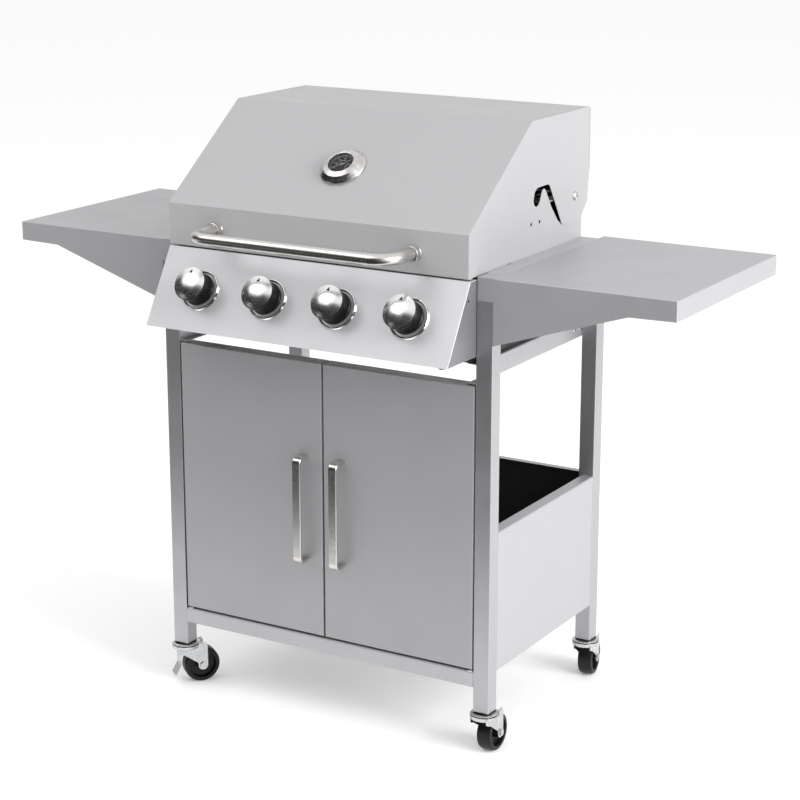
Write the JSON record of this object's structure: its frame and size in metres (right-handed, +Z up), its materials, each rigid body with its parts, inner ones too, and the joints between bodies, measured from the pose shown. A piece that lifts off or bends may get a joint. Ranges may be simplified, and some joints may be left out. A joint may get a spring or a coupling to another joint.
{
  "type": "gas barbecue grill",
  "caption": "Freestanding gas barbecue: hinged hood with gauge, sloped knob panel, side shelves, two-door cart on swivel casters.",
  "frame": {"origin": "middle of the footprint box, on the floor", "axes": "+X to the right seen from the cook, +Y to the back of the grill, +Z up"},
  "size_m": [1.2228, 0.5507, 1.0013],
  "materials": {
    "frame_paint": "silver-grey powder coat",
    "door_paint": "silver-grey powder coat",
    "panel_paint": "silver-grey powder coat",
    "hood_paint": "silver-grey powder coat",
    "firebox_enamel": "heat-proof black enamel",
    "grate_iron": "matt enamelled iron",
    "plated_wire": "plated wire",
    "tray_steel": "plain sheet",
    "chrome_trim": "polished",
    "bright_steel": "fine brushed",
    "zinc": "bright zinc plate",
    "brass_fittings": "plain",
    "pipe_aluminium": "plain",
    "black_plastic": "matt",
    "needle_paint": "matt white",
    "gauge_glass": "clear",
    "wheel_rubber": "black moulded"
  },
  "bodies": {
    "root": {"leg_front_left": "frame_paint", "leg_front_right": "frame_paint", "leg_rear_left": "frame_paint", "leg_rear_right": "frame_paint", "caster_sockets": "black_plastic", "caster_heads": "zinc", "bottom_shelf": "frame_paint", "side_panel_left": "frame_paint", "side_panel_right": "frame_paint", "back_panel": "frame_paint", "cart_rails": "frame_paint", "frame_screws": "zinc", "door_brackets": "zinc", "door_catches": "black_plastic", "firebox": "firebox_enamel", "end_cap_left": "frame_paint", "end_cap_right": "frame_paint", "control_panel": "panel_paint", "knob_bezels": "chrome_trim", "gas_manifold": "pipe_aluminium", "gas_valves": "brass_fittings", "burners": "tray_steel", "flame_tamers": "firebox_enamel", "side_shelf_left": "frame_paint", "side_shelf_right": "frame_paint"},
    "hood": {"hood_shell": "hood_paint", "hood_sides": "hood_paint", "hood_pivot_bolts": "zinc", "hood_handle": "bright_steel", "handle_ferrules": "bright_steel", "thermometer_case": "bright_steel", "thermometer_lens": "gauge_glass"},
    "gauge_needle": {"thermometer_needle": "needle_paint"},
    "door_left": {"door_left": "door_paint", "door_handle_left": "bright_steel"},
    "door_right": {"door_right": "door_paint", "door_handle_right": "bright_steel"},
    "grate_left": {"cooking_grate_left": "grate_iron"},
    "grate_right": {"cooking_grate_right": "grate_iron"},
    "rack": {"warming_rack": "plated_wire"},
    "tray": {"grease_tray": "tray_steel"},
    "stem_1": {"valve_stem_1": "brass_fittings"},
    "knob_1": {"knob_1": "chrome_trim"},
    "stem_2": {"valve_stem_2": "brass_fittings"},
    "knob_2": {"knob_2": "chrome_trim"},
    "stem_3": {"valve_stem_3": "brass_fittings"},
    "knob_3": {"knob_3": "chrome_trim"},
    "stem_4": {"valve_stem_4": "brass_fittings"},
    "knob_4": {"knob_4": "chrome_trim"},
    "fork_front_left": {"caster_fork_front_left": "zinc"},
    "wheel_front_left": {"caster_wheel_front_left": "wheel_rubber"},
    "brake_front_left": {"caster_brake_front_left": "zinc"},
    "fork_front_right": {"caster_fork_front_right": "zinc"},
    "wheel_front_right": {"caster_wheel_front_right": "wheel_rubber"},
    "fork_rear_left": {"caster_fork_rear_left": "zinc"},
    "wheel_rear_left": {"caster_wheel_rear_left": "wheel_rubber"},
    "brake_rear_left": {"caster_brake_rear_left": "zinc"},
    "fork_rear_right": {"caster_fork_rear_right": "zinc"},
    "wheel_rear_right": {"caster_wheel_rear_right": "wheel_rubber"}
  },
  "joints": [
    {"name": "hood_hinge", "type": "hinge", "parent": "root", "child": "hood", "pos_m": [0, 0.17327, 0.8603], "axis": [-1, 0, 0], "range_deg": [0, 85]},
    {"name": "gauge_needle_turn", "type": "hinge", "parent": "hood", "child": "gauge_needle", "pos_m": [0, -0.09604, 0.92066], "axis": [0, -0.5881, 0.8088], "range_deg": [-250, 0], "stiffness_Nm_per_rad": 0.0005},
    {"name": "door_left_hinge", "type": "hinge", "parent": "root", "child": "door_left", "pos_m": [-0.2745, -0.16073, 0.381], "axis": [0, 0, -1], "range_deg": [0, 105]},
    {"name": "grate_left_lift", "type": "slide", "parent": "root", "child": "grate_left", "axis": [0, 0, 1], "range_m": [0, 0.05]},
    {"name": "door_right_hinge", "type": "hinge", "parent": "root", "child": "door_right", "pos_m": [0.2745, -0.16073, 0.381], "axis": [0, 0, 1], "range_deg": [0, 105]},
    {"name": "grate_right_lift", "type": "slide", "parent": "root", "child": "grate_right", "axis": [0, 0, 1], "range_m": [0, 0.05]},
    {"name": "rack_lift", "type": "slide", "parent": "root", "child": "rack", "axis": [0, 0, 1], "range_m": [0, 0.03]},
    {"name": "tray_slide", "type": "slide", "parent": "root", "child": "tray", "axis": [0, 1, 0], "range_m": [0, 0.3]},
    {"name": "knob_1_turn", "type": "hinge", "parent": "root", "child": "stem_1", "pos_m": [-0.195, -0.21971, 0.72258], "axis": [0, -0.8652, 0.5015], "range_deg": [0, 200]},
    {"name": "knob_1_push", "type": "slide", "parent": "stem_1", "child": "knob_1", "axis": [0, 0.8652, -0.5015], "range_m": [0, 0.003], "stiffness_N_per_m": 800, "springref_m": -0.003},
    {"name": "knob_2_turn", "type": "hinge", "parent": "root", "child": "stem_2", "pos_m": [-0.065, -0.21971, 0.72258], "axis": [0, -0.8652, 0.5015], "range_deg": [0, 200]},
    {"name": "knob_2_push", "type": "slide", "parent": "stem_2", "child": "knob_2", "axis": [0, 0.8652, -0.5015], "range_m": [0, 0.003], "stiffness_N_per_m": 800, "springref_m": -0.003},
    {"name": "knob_3_turn", "type": "hinge", "parent": "root", "child": "stem_3", "pos_m": [0.065, -0.21971, 0.72258], "axis": [0, -0.8652, 0.5015], "range_deg": [0, 200]},
    {"name": "knob_3_push", "type": "slide", "parent": "stem_3", "child": "knob_3", "axis": [0, 0.8652, -0.5015], "range_m": [0, 0.003], "stiffness_N_per_m": 800, "springref_m": -0.003},
    {"name": "knob_4_turn", "type": "hinge", "parent": "root", "child": "stem_4", "pos_m": [0.195, -0.21971, 0.72258], "axis": [0, -0.8652, 0.5015], "range_deg": [0, 200]},
    {"name": "knob_4_push", "type": "slide", "parent": "stem_4", "child": "knob_4", "axis": [0, 0.8652, -0.5015], "range_m": [0, 0.003], "stiffness_N_per_m": 800, "springref_m": -0.003},
    {"name": "swivel_front_left", "type": "hinge", "parent": "root", "child": "fork_front_left", "pos_m": [-0.296, -0.15173, 0.067], "axis": [0, 0, 1], "continuous": true},
    {"name": "roll_front_left", "type": "hinge", "parent": "fork_front_left", "child": "wheel_front_left", "pos_m": [-0.27999, -0.13124, 0.0315], "axis": [-0.788, 0.6157, 0], "continuous": true},
    {"name": "brake_front_left", "type": "hinge", "parent": "fork_front_left", "child": "brake_front_left", "pos_m": [-0.304, -0.16197, 0.0596], "axis": [0.788, -0.6157, 0], "range_deg": [0, 5]},
    {"name": "swivel_front_right", "type": "hinge", "parent": "root", "child": "fork_front_right", "pos_m": [0.296, -0.15173, 0.067], "axis": [0, 0, 1], "continuous": true},
    {"name": "roll_front_right", "type": "hinge", "parent": "fork_front_right", "child": "wheel_front_right", "pos_m": [0.296, -0.12573, 0.0315], "axis": [-1, 0, 0], "continuous": true},
    {"name": "swivel_rear_left", "type": "hinge", "parent": "root", "child": "fork_rear_left", "pos_m": [-0.296, 0.21727, 0.067], "axis": [0, 0, 1], "continuous": true},
    {"name": "roll_rear_left", "type": "hinge", "parent": "fork_rear_left", "child": "wheel_rear_left", "pos_m": [-0.28927, 0.24239, 0.0315], "axis": [-0.9659, 0.2588, 0], "continuous": true},
    {"name": "brake_rear_left", "type": "hinge", "parent": "fork_rear_left", "child": "brake_rear_left", "pos_m": [-0.29936, 0.20472, 0.0596], "axis": [0.9659, -0.2588, 0], "range_deg": [0, 5]},
    {"name": "swivel_rear_right", "type": "hinge", "parent": "root", "child": "fork_rear_right", "pos_m": [0.296, 0.21727, 0.067], "axis": [0, 0, 1], "continuous": true},
    {"name": "roll_rear_right", "type": "hinge", "parent": "fork_rear_right", "child": "wheel_rear_right", "pos_m": [0.29149, 0.24288, 0.0315], "axis": [-0.9848, -0.1736, 0], "continuous": true}
  ]
}
